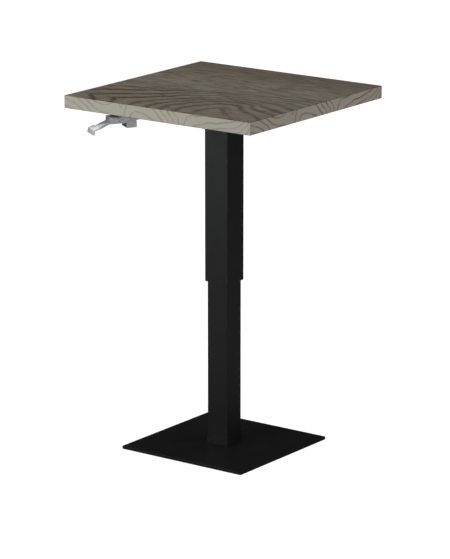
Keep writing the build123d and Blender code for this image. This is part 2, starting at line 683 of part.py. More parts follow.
with BuildPart() as adjuster_nuts:
    for start in (-HEAD_BACK - 4, -HEAD_BACK + CABLE_TAB_T):
        with BuildSketch(cable_axis.offset(start)):
            RegularPolygon(5.6, 6)
            Circle(ADJUSTER_R + FIT, mode=Mode.SUBTRACT)
        extrude(amount=4)
keep(adjuster_nuts, "adjuster_nuts")

crank_face = CRANK_Y + CRANK_ARM * math.tan(CRANK_LEAN) + ARM_T / 2 / math.cos(CRANK_LEAN)
with BuildPart() as crank_wire:
    with BuildSketch(cable_axis.offset(-34)):
        Circle(WIRE_R)
    extrude(amount=34 + crank_face + BALL_R + 0.3)
    with Locations((0, crank_face + BALL_R + 0.3, CABLE_Z)):
        Sphere(BALL_R)
keep(crank_wire, "crank_wire")

# Route of the sheath: straight out of the ferrule, up to a clip under the top, then down a
# little below the mounting plate and round to the window in the column's front wall.
CLIP_Z = UNDERSIDE - 4.6
sheath_start = (*lever_point(SOCKET_IN, WIRE_Y), UNDERSIDE + WIRE_Z)
sheath_turn = (*lever_point(SOCKET_IN - 36, WIRE_Y), UNDERSIDE + WIRE_Z)
route = [
    sheath_start,
    sheath_turn,
    (-92.0, -166.0, CLIP_Z),
    (-61.0, -139.0, CLIP_Z),
    (-22.0, -108.0, 931.5),
    (0.0, -76.0, CABLE_Z),
    (0.0, ADJUSTER_OUT + 5, CABLE_Z),
]


def arc_radii(points):
    """The largest arc each corner of a route leaves room for, 0.45 of the shorter run."""
    radii = []
    for before, at, after in zip(points, points[1:], points[2:]):
        run_in = Vector(*at) - Vector(*before)
        run_out = Vector(*after) - Vector(*at)
        turn = math.radians(run_in.get_angle(run_out))
        radii.append(0.45 * min(run_in.length, run_out.length) / math.tan(turn / 2))
    return radii


sheath_radii = arc_radii(route)
with BuildPart() as cable_sheath:
    with BuildLine():
        sheath_path = FilletPolyline(*route, radius=sheath_radii)
    with BuildSketch(Plane(origin=route[0], z_dir=sheath_path % 0)):
        Circle(SHEATH_R)
    sweep()
keep(cable_sheath, "cable_sheath")
print("sheath radii", [round(r) for r in sheath_radii], "length", round(sheath_path.length, 1))
print("sheath volume over section x length",
      round(cable_sheath.part.volume / (math.pi * SHEATH_R**2 * sheath_path.length), 4))

# Clip round the sheath, with a tab that is screwed to the underside.
clip_run = Vector(*route[3]) - Vector(*route[2])
clip_dir = clip_run.normalized()
clip_side = Vector(clip_dir.Y, -clip_dir.X, 0)
clip_at = (Vector(*route[2]) + Vector(*route[3])) * 0.5
CLIP_W = 9.0
CLIP_TAB = 11.0
CLIP_TAB_T = 1.6
CLIP_SCREW_R = 1.8
clip_plane = Plane(
    origin=clip_at - clip_dir * (CLIP_W / 2), x_dir=clip_side, z_dir=clip_dir
)
clip_up = 1 if clip_plane.y_dir.Z > 0 else -1
clip_top = UNDERSIDE - CLIP_Z
screw_at = clip_at + clip_side * (CLIP_TAB - 2.5)
with BuildPart() as cable_clip:
    with BuildSketch(clip_plane):
        Circle(4.4)
        with Locations((CLIP_TAB / 2 + 1, clip_up * (clip_top - CLIP_TAB_T / 2))):
            Rectangle(CLIP_TAB + 2, CLIP_TAB_T)
        with Locations((1.6, clip_up * 2.6)):
            Rectangle(5, 4)
        Circle(SHEATH_R + 0.3, mode=Mode.SUBTRACT)
    extrude(amount=CLIP_W)
    with BuildSketch(Plane.XY.offset(UNDERSIDE - 4)):
        with Locations((screw_at.X, screw_at.Y)):
            Circle(CLIP_SCREW_R + 0.1)
    extrude(amount=4, mode=Mode.SUBTRACT)
keep(cable_clip, "cable_clip")

clip_screw_point = [(screw_at.X, screw_at.Y)]
CLIP_SCREW_LEN = 14.0
clip_screw = round_screws(
    clip_screw_point, UNDERSIDE - CLIP_TAB_T, 3.2, 2.0, CLIP_SCREW_R, CLIP_SCREW_LEN, 3.4
)
keep(clip_screw, "clip_screw")

# ---- tabletop ---------------------------------------------------------------------------
CORE_BOTTOM = UNDERSIDE + SKIN_T
CORE_SIDE = TOP_SIDE - 2 * BAND_T
pilot_holes = (
    (plate_points, WOOD_R, PLATE_UNDER + PLATE_SCREW_LEN),
    (house_screw_points, HOUSE_SCREW_R, UNDERSIDE - SHEET + HOUSE_SCREW_LEN),
    (clip_screw_point, CLIP_SCREW_R, UNDERSIDE - CLIP_TAB_T + CLIP_SCREW_LEN),
)

with BuildPart() as tabletop_core:
    with BuildSketch(Plane.XY.offset(CORE_BOTTOM)):
        Rectangle(CORE_SIDE, CORE_SIDE)
    extrude(amount=CORE_T)
    for points, radius, tip in pilot_holes:
        with BuildSketch(Plane.XY.offset(CORE_BOTTOM)):
            with Locations(*points):
                Circle(radius + FIT)
        extrude(amount=tip - CORE_BOTTOM + 0.5, mode=Mode.SUBTRACT)
keep(tabletop_core, "tabletop_core")

with BuildPart() as underside_backer:
    with BuildSketch(Plane.XY.offset(UNDERSIDE)):
        Rectangle(TOP_SIDE, TOP_SIDE)
        for points, radius, _ in pilot_holes:
            with Locations(*points):
                Circle(radius + FIT, mode=Mode.SUBTRACT)
    extrude(amount=SKIN_T)
keep(underside_backer, "underside_backer")

with BuildPart() as top_laminate:
    with BuildSketch(Plane.XY.offset(TOTAL_H - SKIN_T)):
        Rectangle(TOP_SIDE, TOP_SIDE)
    extrude(amount=SKIN_T)
    chamfer(top_laminate.faces().sort_by(Axis.Z)[-1].edges(), 0.3)
keep(top_laminate, "top_laminate")

band_middle = TOP_SIDE / 2 - BAND_T / 2
band_layout = {
    "edge_band_front": (0, -band_middle, TOP_SIDE, BAND_T),
    "edge_band_back": (0, band_middle, TOP_SIDE, BAND_T),
    "edge_band_left": (-band_middle, 0, BAND_T, CORE_SIDE),
    "edge_band_right": (band_middle, 0, BAND_T, CORE_SIDE),
}
for band_name, (x, y, wide, deep) in band_layout.items():
    with BuildPart() as edge_band:
        with BuildSketch(Plane.XY.offset(CORE_BOTTOM)):
            with Locations((x, y)):
                Rectangle(wide, deep)
        extrude(amount=CORE_T)
    keep(edge_band, band_name)
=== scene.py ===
import json
import math

import bmesh
import bpy
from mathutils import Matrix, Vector

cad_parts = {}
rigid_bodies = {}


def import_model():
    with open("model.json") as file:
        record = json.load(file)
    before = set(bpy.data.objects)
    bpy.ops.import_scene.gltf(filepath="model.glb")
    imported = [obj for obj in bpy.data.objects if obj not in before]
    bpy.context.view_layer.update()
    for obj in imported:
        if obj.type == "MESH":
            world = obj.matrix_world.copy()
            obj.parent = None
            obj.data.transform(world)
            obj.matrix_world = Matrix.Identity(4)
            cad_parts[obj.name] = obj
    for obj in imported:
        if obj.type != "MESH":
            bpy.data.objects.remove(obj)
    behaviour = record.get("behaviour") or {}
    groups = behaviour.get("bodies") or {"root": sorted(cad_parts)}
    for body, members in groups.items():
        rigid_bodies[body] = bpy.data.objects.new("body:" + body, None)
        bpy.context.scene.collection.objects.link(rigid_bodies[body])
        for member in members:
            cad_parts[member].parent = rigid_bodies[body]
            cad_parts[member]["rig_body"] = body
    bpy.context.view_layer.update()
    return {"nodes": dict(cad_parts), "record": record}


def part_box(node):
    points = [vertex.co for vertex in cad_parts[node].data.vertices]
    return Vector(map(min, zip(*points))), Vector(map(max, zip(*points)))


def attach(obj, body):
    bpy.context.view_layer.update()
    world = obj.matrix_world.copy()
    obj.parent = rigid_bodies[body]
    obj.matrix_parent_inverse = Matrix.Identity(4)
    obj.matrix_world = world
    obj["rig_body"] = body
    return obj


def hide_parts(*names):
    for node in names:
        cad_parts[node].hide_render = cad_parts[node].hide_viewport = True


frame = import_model()
scene = bpy.context.scene
nodes = frame["nodes"]
slot_of = {part["node"]: part["material_slot"] for part in frame["record"]["subparts"]}

# ---- measures that come from the frame ---------------------------------------------------
MM = 0.001
HALF_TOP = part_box("top_laminate")[1].x
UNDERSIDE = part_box("underside_backer")[0].z
BAND_LOW, BAND_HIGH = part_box("edge_band_front")
TUBE_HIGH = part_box("outer_tube")[1]

# The lever's own directions: out along it, and across it towards the front right.
LEVER_AT = Vector((-0.165, -0.2875, UNDERSIDE))
LEVER_TURN = math.radians(32.4)
LEVER_OUT = Vector((-math.sin(LEVER_TURN), -math.cos(LEVER_TURN), 0))
LEVER_SIDE = Vector((math.cos(LEVER_TURN), -math.sin(LEVER_TURN), 0))


def lever_point(x, y, z):
    return LEVER_AT + LEVER_OUT * x + LEVER_SIDE * y + Vector((0, 0, z))


# ---- camera ------------------------------------------------------------------------------
CAMERA_AZ = math.radians(36.212)
CAMERA_EL = math.radians(14.499)
CAMERA_AWAY = 8.8744
CAMERA_AT = Vector((-0.10916, 0.15227, 0.4157))
CAMERA_LENS = 208.52
CAMERA_SENSOR = 36.0
CAMERA_REACH = 200.0


def make_camera():
    data = bpy.data.cameras.new("camera")
    data.lens = CAMERA_LENS
    data.sensor_width = CAMERA_SENSOR
    data.clip_end = CAMERA_REACH
    camera = bpy.data.objects.new("camera", data)
    scene.collection.objects.link(camera)
    back = Vector((
        math.sin(CAMERA_AZ) * math.cos(CAMERA_EL),
        -math.cos(CAMERA_AZ) * math.cos(CAMERA_EL),
        math.sin(CAMERA_EL),
    ))
    camera.location = CAMERA_AT + back * CAMERA_AWAY
    camera.rotation_mode = "QUATERNION"
    camera.rotation_quaternion = (-back).to_track_quat("-Z", "Y")
    scene.camera = camera


make_camera()
scene.view_settings.view_transform = "Standard"


# ---- node graphs -------------------------------------------------------------------------
class Graph:
    """Short calls for building a node tree. A value may be a number, a colour or a socket."""

    def __init__(self, tree):
        self.tree = tree

    def put(self, socket, value):
        if isinstance(value, bpy.types.NodeSocket):
            self.tree.links.new(value, socket)
        elif value is not None:
            socket.default_value = value

    def node(self, kind, inputs=None, **settings):
        made = self.tree.nodes.new(kind)
        for name, value in settings.items():
            setattr(made, name, value)
        for name, value in (inputs or {}).items():
            self.put(made.inputs[name], value)
        return made

    def math(self, operation, *values, clamp=False):
        made = self.node("ShaderNodeMath", operation=operation, use_clamp=clamp)
        for index, value in enumerate(values):
            self.put(made.inputs[index], value)
        return made.outputs[0]

    def add(self, a, b):
        return self.math("ADD", a, b)

    def sub(self, a, b):
        return self.math("SUBTRACT", a, b)

    def mul(self, a, b):
        return self.math("MULTIPLY", a, b)

    def div(self, a, b):
        return self.math("DIVIDE", a, b)

    def most(self, a, b):
        return self.math("MAXIMUM", a, b)

    def size(self, a):
        return self.math("ABSOLUTE", a)

    def split(self, vector):
        made = self.node("ShaderNodeSeparateXYZ", {0: vector})
        return made.outputs[0], made.outputs[1], made.outputs[2]

    def join(self, x, y, z):
        return self.node("ShaderNodeCombineXYZ", {0: x, 1: y, 2: z}).outputs[0]

    def place(self):
        return self.node("ShaderNodeTexCoord").outputs["Object"]

    def scaled(self, vector, scale, move=(0, 0, 0)):
        return self.node(
            "ShaderNodeMapping", {"Vector": vector, "Scale": scale, "Location": move}
        ).outputs[0]

    def noise(self, vector, scale, detail=2.0, rough=0.5, bend=0.0):
        return self.node("ShaderNodeTexNoise", {
            "Vector": vector, "Scale": scale, "Detail": detail, "Roughness": rough,
            "Distortion": bend,
        }).outputs["Fac"]

    def stretched(self, vector, scale, detail=2.0, rough=0.5, bend=0.0, move=(0, 0, 0)):
        """Noise with a scale of its own in each direction."""
        return self.noise(self.scaled(vector, scale, move), 1.0, detail, rough, bend)

    def sway(self, vector, scale, detail=2.0, rough=0.5):
        """Noise that swings to both sides of zero."""
        return self.sub(self.noise(vector, scale, detail, rough), 0.5)

    def fit(self, value, low, high, to_low=0.0, to_high=1.0, smooth=True):
        made = self.node("ShaderNodeMapRange", {
            "Value": value, "From Min": low, "From Max": high, "To Min": to_low,
            "To Max": to_high,
        }, interpolation_type="SMOOTHSTEP" if smooth else "LINEAR")
        return made.outputs[0]

    def blend(self, amount, a, b):
        made = self.node("ShaderNodeMix", data_type="RGBA")
        self.put(made.inputs[0], amount)
        for index, value in ((6, a), (7, b)):
            self.put(made.inputs[index], (*value, 1.0) if isinstance(value, tuple) else value)
        return made.outputs[2]

    def layers(self, ground, steps):
        """Each (amount, colour) laid over the ground in turn."""
        for amount, colour in steps:
            ground = self.blend(amount, ground, colour)
        return ground

    def bump(self, height, strength, distance, under=None):
        return self.node("ShaderNodeBump", {
            "Height": height, "Strength": strength, "Distance": distance, "Normal": under,
        }).outputs[0]


def finish_material(name, build, uniform):
    """A material whose build(graph) gives linked sockets; uniform values sit on the shader."""
    material = bpy.data.materials.new(name)
    material.use_nodes = True
    tree = material.node_tree
    tree.nodes.clear()
    graph = Graph(tree)
    shader = graph.node("ShaderNodeBsdfPrincipled")
    for key, value in {**build(graph), **uniform}.items():
        graph.put(shader.inputs[key], value)
    graph.node("ShaderNodeOutputMaterial", {"Surface": shader.outputs[0]})
    return material


# ---- coats, metals, rubber and board -----------------------------------------------------
def coat(graph, colour, lighter, rough, grain=1500.0, depth=0.06 * MM):
    """Sprayed or moulded surface: fine grain, slow patches and a little dust."""
    place = graph.place()
    fine = graph.noise(place, grain, rough=0.6)
    peel = graph.noise(place, grain / 5)
    patch = graph.noise(place, 14.0, detail=3.0, rough=0.6)
    speck = graph.fit(graph.noise(place, 2600.0, detail=1.0), 0.62, 0.75)
    tone = graph.add(graph.mul(patch, 0.6), graph.mul(speck, 0.25))
    return {
        "Base Color": graph.blend(tone, colour, lighter),
        "Roughness": graph.fit(patch, 0.3, 0.7, rough - 0.05, rough + 0.06),
        "Normal": graph.bump(fine, 0.5, depth, graph.bump(peel, 0.35, depth * 3)),
    }


def plating(graph, bright, dull, rough, along=(60.0, 700.0, 700.0), depth=0.01 * MM):
    """Rolled and plated steel: faint rolling lines, cloudy passivation and small stains."""
    place = graph.place()
    lines = graph.stretched(place, along, detail=3.0, rough=0.6)
    cloud = graph.noise(place, 55.0, detail=4.0, rough=0.65, bend=0.6)
    spangle = graph.noise(place, 420.0)
    stain = graph.fit(graph.noise(place, 130.0, detail=4.0, rough=0.7), 0.58, 0.74, 0.0, 0.45)
    tone = graph.add(graph.mul(cloud, 0.55), graph.mul(lines, 0.3))
    tone = graph.add(tone, graph.mul(stain, 0.5))
    return {
        "Base Color": graph.blend(tone, bright, dull),
        "Roughness": graph.add(
            graph.fit(cloud, 0.3, 0.7, rough - 0.05, rough + 0.07), graph.mul(stain, 0.12)
        ),
        "Normal": graph.bump(lines, 0.3, depth, graph.bump(spangle, 0.15, depth * 2)),
    }


def turned_steel(graph, bright, dull, rough):
    """Machined steel with fine tool rings across the upright axis."""
    place = graph.place()
    rings = graph.stretched(place, (8.0, 8.0, 2400.0), rough=0.6)
    cloud = graph.noise(place, 70.0, detail=3.0, rough=0.6)
    tone = graph.add(graph.mul(rings, 0.5), graph.mul(cloud, 0.4))
    return {
        "Base Color": graph.blend(tone, bright, dull),
        "Roughness": graph.fit(cloud, 0.3, 0.7, rough - 0.04, rough + 0.06),
        "Normal": graph.bump(rings, 0.25, 0.01 * MM),
    }


RIB_PITCH = 4 * MM


def ribbed_rubber(graph):
    """Floor pad: rubber in low ribs, with dust in it."""
    place = graph.place()
    x, _, _ = graph.split(place)
    wave = graph.math("SINE", graph.mul(x, 2 * math.pi / RIB_PITCH))
    fine = graph.noise(place, 1200.0, rough=0.6)
    dust = graph.noise(place, 40.0, detail=4.0, rough=0.7)
    return {
        "Base Color": graph.blend(dust, (0.014, 0.014, 0.014), (0.036, 0.035, 0.033)),
        "Roughness": graph.fit(dust, 0.3, 0.7, 0.78, 0.92),
        "Normal": graph.bump(fine, 0.4, 0.1 * MM, graph.bump(wave, 0.7, 0.4 * MM)),
    }


def jacket(graph):
    """Extruded cable jacket: satin, with a fine grain and rub marks."""
    place = graph.place()
    fine = graph.noise(place, 900.0)
    rub = graph.fit(graph.noise(place, 160.0, detail=3.0, rough=0.7), 0.5, 0.75)
    return {
        "Base Color": graph.blend(rub, (0.008, 0.008, 0.009), (0.022, 0.022, 0.023)),
        "Roughness": graph.fit(rub, 0.0, 1.0, 0.34, 0.52),
        "Normal": graph.bump(fine, 0.2, 0.03 * MM),
    }


def pressed_board(graph):
    """Particle board: flakes of several browns."""
    place = graph.place()
    cells = graph.node("ShaderNodeTexVoronoi", {
        "Vector": graph.scaled(place, (260.0, 260.0, 700.0)), "Scale": 1.0, "Randomness": 1.0,
    })
    flake = graph.split(cells.outputs["Color"])[0]
    fine = graph.noise(place, 900.0, detail=3.0, rough=0.6)
    tone = graph.add(graph.mul(flake, 0.7), graph.mul(fine, 0.3))
    return {
        "Base Color": graph.blend(tone, (0.52, 0.37, 0.22), (0.27, 0.17, 0.09)),
        "Roughness": graph.fit(fine, 0.3, 0.7, 0.75, 0.9),
        "Normal": graph.bump(cells.outputs["Distance"], 0.5, 0.3 * MM),
    }


def backer(graph):
    """Plain balancing sheet under the board: dull, lightly pebbled, a little scuffed."""
    place = graph.place()
    pebble = graph.noise(place, 700.0)
    scuff = graph.stretched(place, (9.0, 60.0, 9.0), detail=4.0, rough=0.7)
    scuff = graph.fit(scuff, 0.55, 0.8)
    cloud = graph.noise(place, 7.0, detail=3.0, rough=0.6)
    tone = graph.blend(cloud, (0.085, 0.078, 0.070), (0.115, 0.106, 0.096))
    return {
        "Base Color": graph.blend(graph.mul(scuff, 0.5), tone, (0.17, 0.16, 0.15)),
        "Roughness": graph.fit(cloud, 0.3, 0.7, 0.55, 0.68),
        "Normal": graph.bump(pebble, 0.4, 0.08 * MM),
    }


# ---- wood figure -------------------------------------------------------------------------
FLATTEST = 4.0      # ring levels per metre; a flatter stretch counts as this steep


def level_group(name, build):
    """A group that gives the ring level at X, Y, so that it can be read at several places."""
    tree = bpy.data.node_groups.new(name, "ShaderNodeTree")
    for socket in ("X", "Y"):
        tree.interface.new_socket(socket, in_out="INPUT", socket_type="NodeSocketFloat")
    tree.interface.new_socket("Level", in_out="OUTPUT", socket_type="NodeSocketFloat")
    graph = Graph(tree)
    start = graph.node("NodeGroupInput")
    graph.node("NodeGroupOutput", {0: build(graph, start.outputs[0], start.outputs[1])})
    return tree


def ring_lines(graph, group, x, y, step=1.5 * MM):
    """(metres past the last line, metres to the nearest, ring level, share to the nearest)."""
    def sample(at_x, at_y):
        return graph.node("ShaderNodeGroup", {0: at_x, 1: at_y}, node_tree=group).outputs[0]

    here = sample(x, y)
    rise_x = graph.sub(sample(graph.add(x, step), y), here)
    rise_y = graph.sub(sample(x, graph.add(y, step)), here)
    slope = graph.math("SQRT", graph.add(graph.mul(rise_x, rise_x), graph.mul(rise_y, rise_y)))
    slope = graph.most(graph.div(slope, step), FLATTEST)
    part = graph.math("FRACT", here)
    near = graph.sub(0.5, graph.size(graph.sub(part, 0.5)))
    return graph.div(part, slope), graph.div(near, slope), here, near


def curve_level(graph, share, points, length, levels):
    """A curve of ring level, through listed points, against the share of a row's length."""
    made = graph.node("ShaderNodeFloatCurve", {"Value": share})
    line = made.mapping.curves[0]
    made.mapping.use_clip = False
    heights = [level / levels for _, level in points]
    line.points[0].location = (points[0][0] / length, heights[0])
    line.points[1].location = (points[-1][0] / length, heights[-1])
    for (at, _), height in zip(points[1:-1], heights[1:-1]):
        line.points.new(at / length, height)
    for point in line.points:
        point.handle_type = "AUTO_CLAMPED"
    made.mapping.update()
    return graph.mul(made.outputs[0], levels)


WOOD_WARM = (0.104, 0.0868, 0.0658)
WOOD_COOL = (0.132, 0.1275, 0.1015)
WOOD_SHADE = (0.046, 0.0378, 0.0262)
WOOD_LIGHT = (0.136, 0.1165, 0.0900)
WOOD_DARK = (0.024, 0.018, 0.011)
TOP_LEVELS = 14.0
# Rows across the top, from the front edge backwards: metres behind the front edge, then
# millimetres along the row from the left side and the ring level there. Where a row crosses
# a whole number it crosses a ring line, so the rows draw nested pointed arches.
TOP_ROWS = [
    (0.000, [(0, 7.6), (100, 7.0), (150, 6.0), (207, 5.0), (260, 4.0), (313, 3.0), (360, 2.0),
             (413, 1.0), (468, 0.55), (533, 1.0), (600, 1.7)]),
    (0.053, [(0, 7.5), (47, 7.0), (127, 6.0), (205, 5.0), (260, 4.0), (303, 3.0), (353, 2.0),
             (407, 1.0), (443, 0.7), (487, 1.0), (587, 2.0), (600, 2.15)]),
    (0.107, [(0, 8.0), (113, 7.0), (187, 6.0), (240, 5.0), (280, 4.0), (320, 3.0), (370, 2.0),
             (433, 1.05), (500, 2.0), (600, 3.0)]),
    (0.147, [(0, 8.6), (67, 8.0), (167, 7.0), (227, 6.0), (277, 5.0), (310, 4.0), (347, 3.0),
             (397, 2.0), (428, 1.75), (460, 2.0), (503, 3.0), (600, 4.1)]),
    (0.187, [(0, 9.3), (47, 9.0), (133, 8.0), (220, 7.0), (257, 6.0), (317, 5.0), (363, 4.0),
             (403, 3.0), (433, 2.7), (470, 3.0), (507, 4.0), (600, 5.0)]),
    (0.227, [(0, 10.2), (147, 9.0), (193, 8.0), (270, 7.0), (320, 6.0), (393, 5.0), (440, 4.7),
             (520, 5.0), (600, 5.6)]),
    (0.260, [(0, 10.8), (170, 10.0), (230, 9.0), (290, 8.0), (340, 7.0), (410, 6.2), (520, 6.1),
             (600, 6.6)]),
    (0.330, [(0, 12.0), (200, 11.2), (400, 9.4), (600, 9.2)]),
    (0.600, [(0, 13.6), (600, 13.2)]),
]


def arches(graph, x, y):
    """Nested arches that open towards the front edge, drawn by the rows above."""
    share = graph.div(graph.add(x, HALF_TOP), 2 * HALF_TOP)
    back = graph.add(y, HALF_TOP)
    curves = [
        curve_level(graph, share, points, 2 * HALF_TOP / MM, TOP_LEVELS)
        for _, points in TOP_ROWS
    ]
    level = curves[0]
    for index in range(1, len(curves)):
        start, end = TOP_ROWS[index - 1][0], TOP_ROWS[index][0]
        reached = graph.fit(back, start, end, smooth=index == 1)
        change = graph.sub(curves[index], curves[index - 1])
        level = graph.add(level, graph.mul(reached, change))
    return level


def laminate_top(graph):
    """Printed wood: ring lines in the front half, streaks behind, a cooler band between, and
    painted shade that darkens the back.
    """
    place = graph.place()
    x, y, _ = graph.split(place)
    sway_x = graph.sway(place, 7.0)
    sway_y = graph.sway(graph.scaled(place, (1, 1, 1), (3.1, 1.7, 0.4)), 11.0, 3.0, 0.55)
    past, near, level, apart = ring_lines(
        graph, level_group("top_rings", arches),
        graph.add(x, graph.mul(sway_x, 0.030)), graph.add(y, graph.mul(sway_y, 0.026)),
    )

    # lines stay apart where the rings crowd, trail off on one side and fade towards the back
    clear = graph.fit(apart, 0.12, 0.34, 1.0, 0.0)
    line = graph.math("MINIMUM", graph.fit(near, 0.0030, 0.0105, 1.0, 0.0), clear)
    trail = graph.mul(graph.fit(past, 0.0, 0.020, 1.0, 0.0), 0.30)
    between = graph.mul(graph.fit(apart, 0.30, 0.48), graph.fit(level, 8.0, 10.5, 0.30, 0.0))
    vary = graph.fit(graph.noise(place, 8.0), 0.3, 0.62, 0.5, 1.0)
    strength = graph.mul(graph.fit(level, 8.0, 10.5, 1.0, 0.10), vary)
    leftward = graph.fit(x, -0.20, 0.10, 1.0, 0.62)
    rings = graph.mul(graph.mul(graph.most(line, trail), strength), leftward)

    fibre = graph.stretched(place, (26.0, 260.0, 1.0), detail=4.0, rough=0.7)
    streak = graph.stretched(place, (13.0, 92.0, 1.0), detail=3.0, rough=0.65, bend=0.4)
    broad = graph.stretched(
        place, (3.0, 24.0, 1.0), rough=0.6, bend=0.3, move=(1.3, 2.1, 0)
    )
    pore = graph.fit(graph.stretched(place, (70.0, 1500.0, 1.0), rough=0.6), 0.60, 0.72)

    band = graph.mul(
        graph.fit(graph.add(y, graph.mul(sway_x, 0.35)), -0.13, -0.01),
        graph.fit(graph.add(y, graph.mul(sway_y, 0.35)), 0.05, 0.19, 1.0, 0.0),
    )
    patch = graph.noise(graph.scaled(place, (1.0, 1.8, 1.0)), 5.0, detail=3.0, rough=0.6)
    patch = graph.fit(patch, 0.35, 0.65)
    cool = graph.math("MULTIPLY", band, graph.add(graph.mul(patch, 0.5), 0.5), clamp=True)
    cool = graph.most(cool, graph.mul(patch, 0.25))
    ground = graph.layers(graph.blend(cool, WOOD_WARM, WOOD_COOL), (
        (graph.fit(broad, 0.44, 0.60, 0.0, 0.30), WOOD_SHADE),
        (graph.fit(streak, 0.48, 0.60, 0.0, 0.85), WOOD_SHADE),
        (graph.fit(streak, 0.36, 0.46, 0.55, 0.0), WOOD_LIGHT),
        (graph.fit(fibre, 0.40, 0.66, 0.0, 0.60), WOOD_LIGHT),
        (graph.fit(fibre, 0.34, 0.52, 0.45, 0.0), WOOD_SHADE),
        (between, WOOD_LIGHT),
        # painted shade: the top grows darker towards the back
        (graph.fit(y, 0.04, 0.28, 0.0, 0.36), WOOD_SHADE),
        (graph.mul(rings, 0.95), WOOD_DARK),
        (graph.mul(pore, 0.5), WOOD_DARK),
    ))
    return {
        "Base Color": ground,
        "Roughness": graph.add(graph.fit(fibre, 0.3, 0.7, 0.47, 0.56), graph.mul(pore, 0.12)),
        "Normal": graph.bump(graph.sub(fibre, graph.mul(pore, 0.8)), 0.35, 0.08 * MM),
    }


EDGE_WARM = (0.660, 0.600, 0.500)
EDGE_COOL = (0.636, 0.604, 0.508)
EDGE_SHADE = (0.480, 0.420, 0.335)
EDGE_DARK = (0.165, 0.126, 0.086)
EDGE_LENGTH = 600.0
EDGE_LEVELS = 18.0
# Millimetres along the edge from its left end, and the ring level there: first along the
# top of the band, then along its lower side. A line runs between equal whole numbers.
EDGE_UPPER = [
    (0, 2.45), (14, 2.6), (40, 3.0), (70, 4.0), (96, 5.0), (128, 5.45), (160, 5.0), (176, 4.75),
    (187, 5.3), (197, 4.6), (232, 4.35), (266, 4.45), (288, 5.0), (315, 6.0), (338, 7.0),
    (356, 8.0), (388, 8.7), (452, 9.0), (558, 10.0), (580, 11.0), (594, 12.0), (600, 12.6),
]
EDGE_LOWER = [
    (0, 0.65), (24, 1.0), (64, 2.0), (90, 3.0), (112, 3.6), (152, 4.0), (180, 4.3), (204, 4.25),
    (217, 4.0), (243, 3.55), (268, 3.70), (296, 4.0), (308, 4.4), (324, 5.0), (344, 6.0),
    (361, 7.0), (376, 8.0), (392, 9.0), (420, 10.0), (480, 11.0), (556, 12.0), (584, 13.0),
    (600, 13.8),
]
# The joint between two staves: metres from the left end, and how far it leans with depth.
STAVE_JOINT = 0.206
STAVE_LEAN = 0.31
# The direction in which each band's figure runs, as +X and +Y, and how dark its lines are.
EDGE_RUNS = {
    "edge_band_front": ((1, 0), 0.55), "edge_band_right": ((0, 1), 0.95),
    "edge_band_back": ((-1, 0), 0.55), "edge_band_left": ((0, -1), 0.95),
}


def edge_rings(graph, along, down):
    """The ring level on an edge band, between the curves of its upper and lower side."""
    share = graph.div(along, EDGE_LENGTH * MM)
    upper = curve_level(graph, share, EDGE_UPPER, EDGE_LENGTH, EDGE_LEVELS)
    lower = curve_level(graph, share, EDGE_LOWER, EDGE_LENGTH, EDGE_LEVELS)
    depth = graph.div(down, BAND_HIGH.z - BAND_LOW.z)
    return graph.add(upper, graph.mul(depth, graph.sub(lower, upper)))


def edge_wood(direction, ink, group):
    """The same printed figure on each edge band, read from its own left end."""
    def build(graph):
        place = graph.place()
        x, y, z = graph.split(place)
        along = graph.add(
            graph.add(graph.mul(x, direction[0]), graph.mul(y, direction[1])), HALF_TOP
        )
        down = graph.sub(BAND_HIGH.z, z)
        flat = graph.join(along, graph.mul(down, 1.6), 0.0)
        sway_x = graph.sway(flat, 26.0, 3.0, 0.55)
        sway_y = graph.sway(graph.scaled(flat, (1, 1, 1), (2.3, 5.1, 0)), 30.0, 3.0, 0.55)
        past, near, _, _ = ring_lines(
            graph, group,
            graph.add(along, graph.mul(sway_x, 0.014)),
            graph.add(down, graph.mul(sway_y, 0.010)),
            step=0.6 * MM,
        )
        line = graph.fit(near, 0.0005, 0.0020, 1.0, 0.0)
        trail = graph.mul(graph.fit(past, 0.0, 0.006, 1.0, 0.0), 0.38)
        vary = graph.fit(graph.noise(flat, 17.0), 0.3, 0.62, 0.4, 1.0)
        rings = graph.mul(graph.most(line, trail), vary)
        leant = graph.add(along, graph.mul(sway_y, 0.003))
        leant = graph.add(leant, graph.mul(down, STAVE_LEAN))
        joint = graph.size(graph.sub(leant, STAVE_JOINT))
        joint = graph.mul(graph.fit(joint, 0.0008, 0.0034, 1.0, 0.0), 0.55)
        grain = graph.stretched(flat, (170.0, 900.0, 1.0), detail=4.0, rough=0.7)
        cloud = graph.noise(flat, 9.0, detail=3.0, rough=0.6)
        fleck = graph.fit(graph.stretched(flat, (700.0, 1900.0, 1.0)), 0.60, 0.74)
        ground = graph.blend(graph.fit(cloud, 0.3, 0.7), EDGE_WARM, EDGE_COOL)
        ground = graph.layers(ground, (
            (graph.fit(grain, 0.35, 0.75, 0.0, 0.35), EDGE_SHADE),
            (graph.mul(graph.most(rings, joint), ink), EDGE_DARK),
            (graph.mul(fleck, 0.35), EDGE_DARK),
        ))
        return {
            "Base Color": ground,
            "Roughness": graph.fit(grain, 0.3, 0.7, 0.50, 0.60),
            "Normal": graph.bump(graph.sub(grain, fleck), 0.3, 0.08 * MM),
        }
    return build


# ---- a finish for every material slot ----------------------------------------------------
SHINE = "Specular IOR Level"
METAL = {"Metallic": 1.0}
